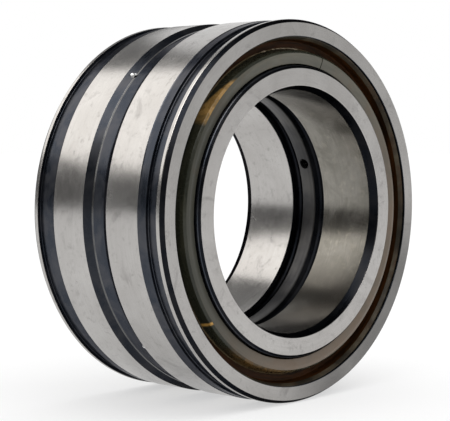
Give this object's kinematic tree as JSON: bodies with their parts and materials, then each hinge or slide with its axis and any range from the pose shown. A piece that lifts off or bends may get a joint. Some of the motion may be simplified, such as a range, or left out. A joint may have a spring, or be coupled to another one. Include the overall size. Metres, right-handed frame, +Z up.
{
  "type": "cylindrical roller bearing",
  "caption": "Sealed double-row full-complement cylindrical roller bearing with a split inner ring, lip seals, an oil groove and snap ring grooves in the outer ring.",
  "frame": {"origin": "centre of the bearing: on its axis, half way between the two end faces", "axes": "+Y along the axis of rotation, with the front face towards -Y; +Z up; +X to the right seen from the front"},
  "size_m": [0.11, 0.054, 0.11],
  "materials": {
    "outer_ring": "ground lands and end faces, blackened grooves and chamfers",
    "inner_ring": "ground bore, ribs and end faces, blackened chamfers and bore groove",
    "retaining_strip": "dark satin rolled strip",
    "seal": "glossy amber-olive moulded polymer",
    "roller": "lapped steel"
  },
  "bodies": {
    "outer": {"outer_ring": "outer_ring", "seal_front": "seal", "seal_back": "seal"},
    "inner": {"inner_ring_front": "inner_ring", "inner_ring_back": "inner_ring", "retaining_strip": "retaining_strip"},
    "roller_set": {"roller_pair_01": "roller"},
    "rollers_02": {"roller_pair_02": "roller"},
    "rollers_03": {"roller_pair_03": "roller"},
    "rollers_04": {"roller_pair_04": "roller"},
    "rollers_05": {"roller_pair_05": "roller"},
    "rollers_06": {"roller_pair_06": "roller"},
    "rollers_07": {"roller_pair_07": "roller"},
    "rollers_08": {"roller_pair_08": "roller"},
    "rollers_09": {"roller_pair_09": "roller"},
    "rollers_10": {"roller_pair_10": "roller"},
    "rollers_11": {"roller_pair_11": "roller"},
    "rollers_12": {"roller_pair_12": "roller"},
    "rollers_13": {"roller_pair_13": "roller"},
    "rollers_14": {"roller_pair_14": "roller"},
    "rollers_15": {"roller_pair_15": "roller"},
    "rollers_16": {"roller_pair_16": "roller"},
    "rollers_17": {"roller_pair_17": "roller"},
    "rollers_18": {"roller_pair_18": "roller"},
    "rollers_19": {"roller_pair_19": "roller"},
    "rollers_20": {"roller_pair_20": "roller"},
    "rollers_21": {"roller_pair_21": "roller"},
    "rollers_22": {"roller_pair_22": "roller"},
    "rollers_23": {"roller_pair_23": "roller"},
    "rollers_24": {"roller_pair_24": "roller"},
    "rollers_25": {"roller_pair_25": "roller"},
    "rollers_26": {"roller_pair_26": "roller"},
    "rollers_27": {"roller_pair_27": "roller"},
    "rollers_28": {"roller_pair_28": "roller"}
  },
  "joints": [
    {"name": "inner_ring_spin", "type": "hinge", "parent": "outer", "child": "inner", "pos_m": [0, 0, 0], "axis": [0, 1, 0], "continuous": true},
    {"name": "roller_set_orbit", "type": "hinge", "parent": "outer", "child": "roller_set", "pos_m": [0, 0, 0], "axis": [0, 1, 0], "continuous": true},
    {"name": "roller_spin_02", "type": "hinge", "parent": "roller_set", "child": "rollers_02", "pos_m": [0.04401, 0, 0.01004], "axis": [0, 1, 0], "continuous": true},
    {"name": "roller_spin_03", "type": "hinge", "parent": "roller_set", "child": "rollers_03", "pos_m": [0.04067, 0, 0.01959], "axis": [0, 1, 0], "continuous": true},
    {"name": "roller_spin_04", "type": "hinge", "parent": "roller_set", "child": "rollers_04", "pos_m": [0.03529, 0, 0.02814], "axis": [0, 1, 0], "continuous": true},
    {"name": "roller_spin_05", "type": "hinge", "parent": "roller_set", "child": "rollers_05", "pos_m": [0.02814, 0, 0.03529], "axis": [0, 1, 0], "continuous": true},
    {"name": "roller_spin_06", "type": "hinge", "parent": "roller_set", "child": "rollers_06", "pos_m": [0.01959, 0, 0.04067], "axis": [0, 1, 0], "continuous": true},
    {"name": "roller_spin_07", "type": "hinge", "parent": "roller_set", "child": "rollers_07", "pos_m": [0.01004, 0, 0.04401], "axis": [0, 1, 0], "continuous": true},
    {"name": "roller_spin_08", "type": "hinge", "parent": "roller_set", "child": "rollers_08", "pos_m": [0, 0, 0.04514], "axis": [0, 1, 0], "continuous": true},
    {"name": "roller_spin_09", "type": "hinge", "parent": "roller_set", "child": "rollers_09", "pos_m": [-0.01004, 0, 0.04401], "axis": [0, 1, 0], "continuous": true},
    {"name": "roller_spin_10", "type": "hinge", "parent": "roller_set", "child": "rollers_10", "pos_m": [-0.01959, 0, 0.04067], "axis": [0, 1, 0], "continuous": true},
    {"name": "roller_spin_11", "type": "hinge", "parent": "roller_set", "child": "rollers_11", "pos_m": [-0.02814, 0, 0.03529], "axis": [0, 1, 0], "continuous": true},
    {"name": "roller_spin_12", "type": "hinge", "parent": "roller_set", "child": "rollers_12", "pos_m": [-0.03529, 0, 0.02814], "axis": [0, 1, 0], "continuous": true},
    {"name": "roller_spin_13", "type": "hinge", "parent": "roller_set", "child": "rollers_13", "pos_m": [-0.04067, 0, 0.01959], "axis": [0, 1, 0], "continuous": true},
    {"name": "roller_spin_14", "type": "hinge", "parent": "roller_set", "child": "rollers_14", "pos_m": [-0.04401, 0, 0.01004], "axis": [0, 1, 0], "continuous": true},
    {"name": "roller_spin_15", "type": "hinge", "parent": "roller_set", "child": "rollers_15", "pos_m": [-0.04514, 0, 0], "axis": [0, 1, 0], "continuous": true},
    {"name": "roller_spin_16", "type": "hinge", "parent": "roller_set", "child": "rollers_16", "pos_m": [-0.04401, 0, -0.01004], "axis": [0, 1, 0], "continuous": true},
    {"name": "roller_spin_17", "type": "hinge", "parent": "roller_set", "child": "rollers_17", "pos_m": [-0.04067, 0, -0.01959], "axis": [0, 1, 0], "continuous": true},
    {"name": "roller_spin_18", "type": "hinge", "parent": "roller_set", "child": "rollers_18", "pos_m": [-0.03529, 0, -0.02814], "axis": [0, 1, 0], "continuous": true},
    {"name": "roller_spin_19", "type": "hinge", "parent": "roller_set", "child": "rollers_19", "pos_m": [-0.02814, 0, -0.03529], "axis": [0, 1, 0], "continuous": true},
    {"name": "roller_spin_20", "type": "hinge", "parent": "roller_set", "child": "rollers_20", "pos_m": [-0.01959, 0, -0.04067], "axis": [0, 1, 0], "continuous": true},
    {"name": "roller_spin_21", "type": "hinge", "parent": "roller_set", "child": "rollers_21", "pos_m": [-0.01004, 0, -0.04401], "axis": [0, 1, 0], "continuous": true},
    {"name": "roller_spin_22", "type": "hinge", "parent": "roller_set", "child": "rollers_22", "pos_m": [0, 0, -0.04514], "axis": [0, 1, 0], "continuous": true},
    {"name": "roller_spin_23", "type": "hinge", "parent": "roller_set", "child": "rollers_23", "pos_m": [0.01004, 0, -0.04401], "axis": [0, 1, 0], "continuous": true},
    {"name": "roller_spin_24", "type": "hinge", "parent": "roller_set", "child": "rollers_24", "pos_m": [0.01959, 0, -0.04067], "axis": [0, 1, 0], "continuous": true},
    {"name": "roller_spin_25", "type": "hinge", "parent": "roller_set", "child": "rollers_25", "pos_m": [0.02814, 0, -0.03529], "axis": [0, 1, 0], "continuous": true},
    {"name": "roller_spin_26", "type": "hinge", "parent": "roller_set", "child": "rollers_26", "pos_m": [0.03529, 0, -0.02814], "axis": [0, 1, 0], "continuous": true},
    {"name": "roller_spin_27", "type": "hinge", "parent": "roller_set", "child": "rollers_27", "pos_m": [0.04067, 0, -0.01959], "axis": [0, 1, 0], "continuous": true},
    {"name": "roller_spin_28", "type": "hinge", "parent": "roller_set", "child": "rollers_28", "pos_m": [0.04401, 0, -0.01004], "axis": [0, 1, 0], "continuous": true}
  ],
  "couplings": [
    {"joint": "roller_set_orbit", "follows": "inner_ring_spin", "ratio": 0.44462},
    {"joint": "roller_spin_02", "follows": "inner_ring_spin", "ratio": -4.4586},
    {"joint": "roller_spin_03", "follows": "inner_ring_spin", "ratio": -4.4586},
    {"joint": "roller_spin_04", "follows": "inner_ring_spin", "ratio": -4.4586},
    {"joint": "roller_spin_05", "follows": "inner_ring_spin", "ratio": -4.4586},
    {"joint": "roller_spin_06", "follows": "inner_ring_spin", "ratio": -4.4586},
    {"joint": "roller_spin_07", "follows": "inner_ring_spin", "ratio": -4.4586},
    {"joint": "roller_spin_08", "follows": "inner_ring_spin", "ratio": -4.4586},
    {"joint": "roller_spin_09", "follows": "inner_ring_spin", "ratio": -4.4586},
    {"joint": "roller_spin_10", "follows": "inner_ring_spin", "ratio": -4.4586},
    {"joint": "roller_spin_11", "follows": "inner_ring_spin", "ratio": -4.4586},
    {"joint": "roller_spin_12", "follows": "inner_ring_spin", "ratio": -4.4586},
    {"joint": "roller_spin_13", "follows": "inner_ring_spin", "ratio": -4.4586},
    {"joint": "roller_spin_14", "follows": "inner_ring_spin", "ratio": -4.4586},
    {"joint": "roller_spin_15", "follows": "inner_ring_spin", "ratio": -4.4586},
    {"joint": "roller_spin_16", "follows": "inner_ring_spin", "ratio": -4.4586},
    {"joint": "roller_spin_17", "follows": "inner_ring_spin", "ratio": -4.4586},
    {"joint": "roller_spin_18", "follows": "inner_ring_spin", "ratio": -4.4586},
    {"joint": "roller_spin_19", "follows": "inner_ring_spin", "ratio": -4.4586},
    {"joint": "roller_spin_20", "follows": "inner_ring_spin", "ratio": -4.4586},
    {"joint": "roller_spin_21", "follows": "inner_ring_spin", "ratio": -4.4586},
    {"joint": "roller_spin_22", "follows": "inner_ring_spin", "ratio": -4.4586},
    {"joint": "roller_spin_23", "follows": "inner_ring_spin", "ratio": -4.4586},
    {"joint": "roller_spin_24", "follows": "inner_ring_spin", "ratio": -4.4586},
    {"joint": "roller_spin_25", "follows": "inner_ring_spin", "ratio": -4.4586},
    {"joint": "roller_spin_26", "follows": "inner_ring_spin", "ratio": -4.4586},
    {"joint": "roller_spin_27", "follows": "inner_ring_spin", "ratio": -4.4586},
    {"joint": "roller_spin_28", "follows": "inner_ring_spin", "ratio": -4.4586}
  ]
}
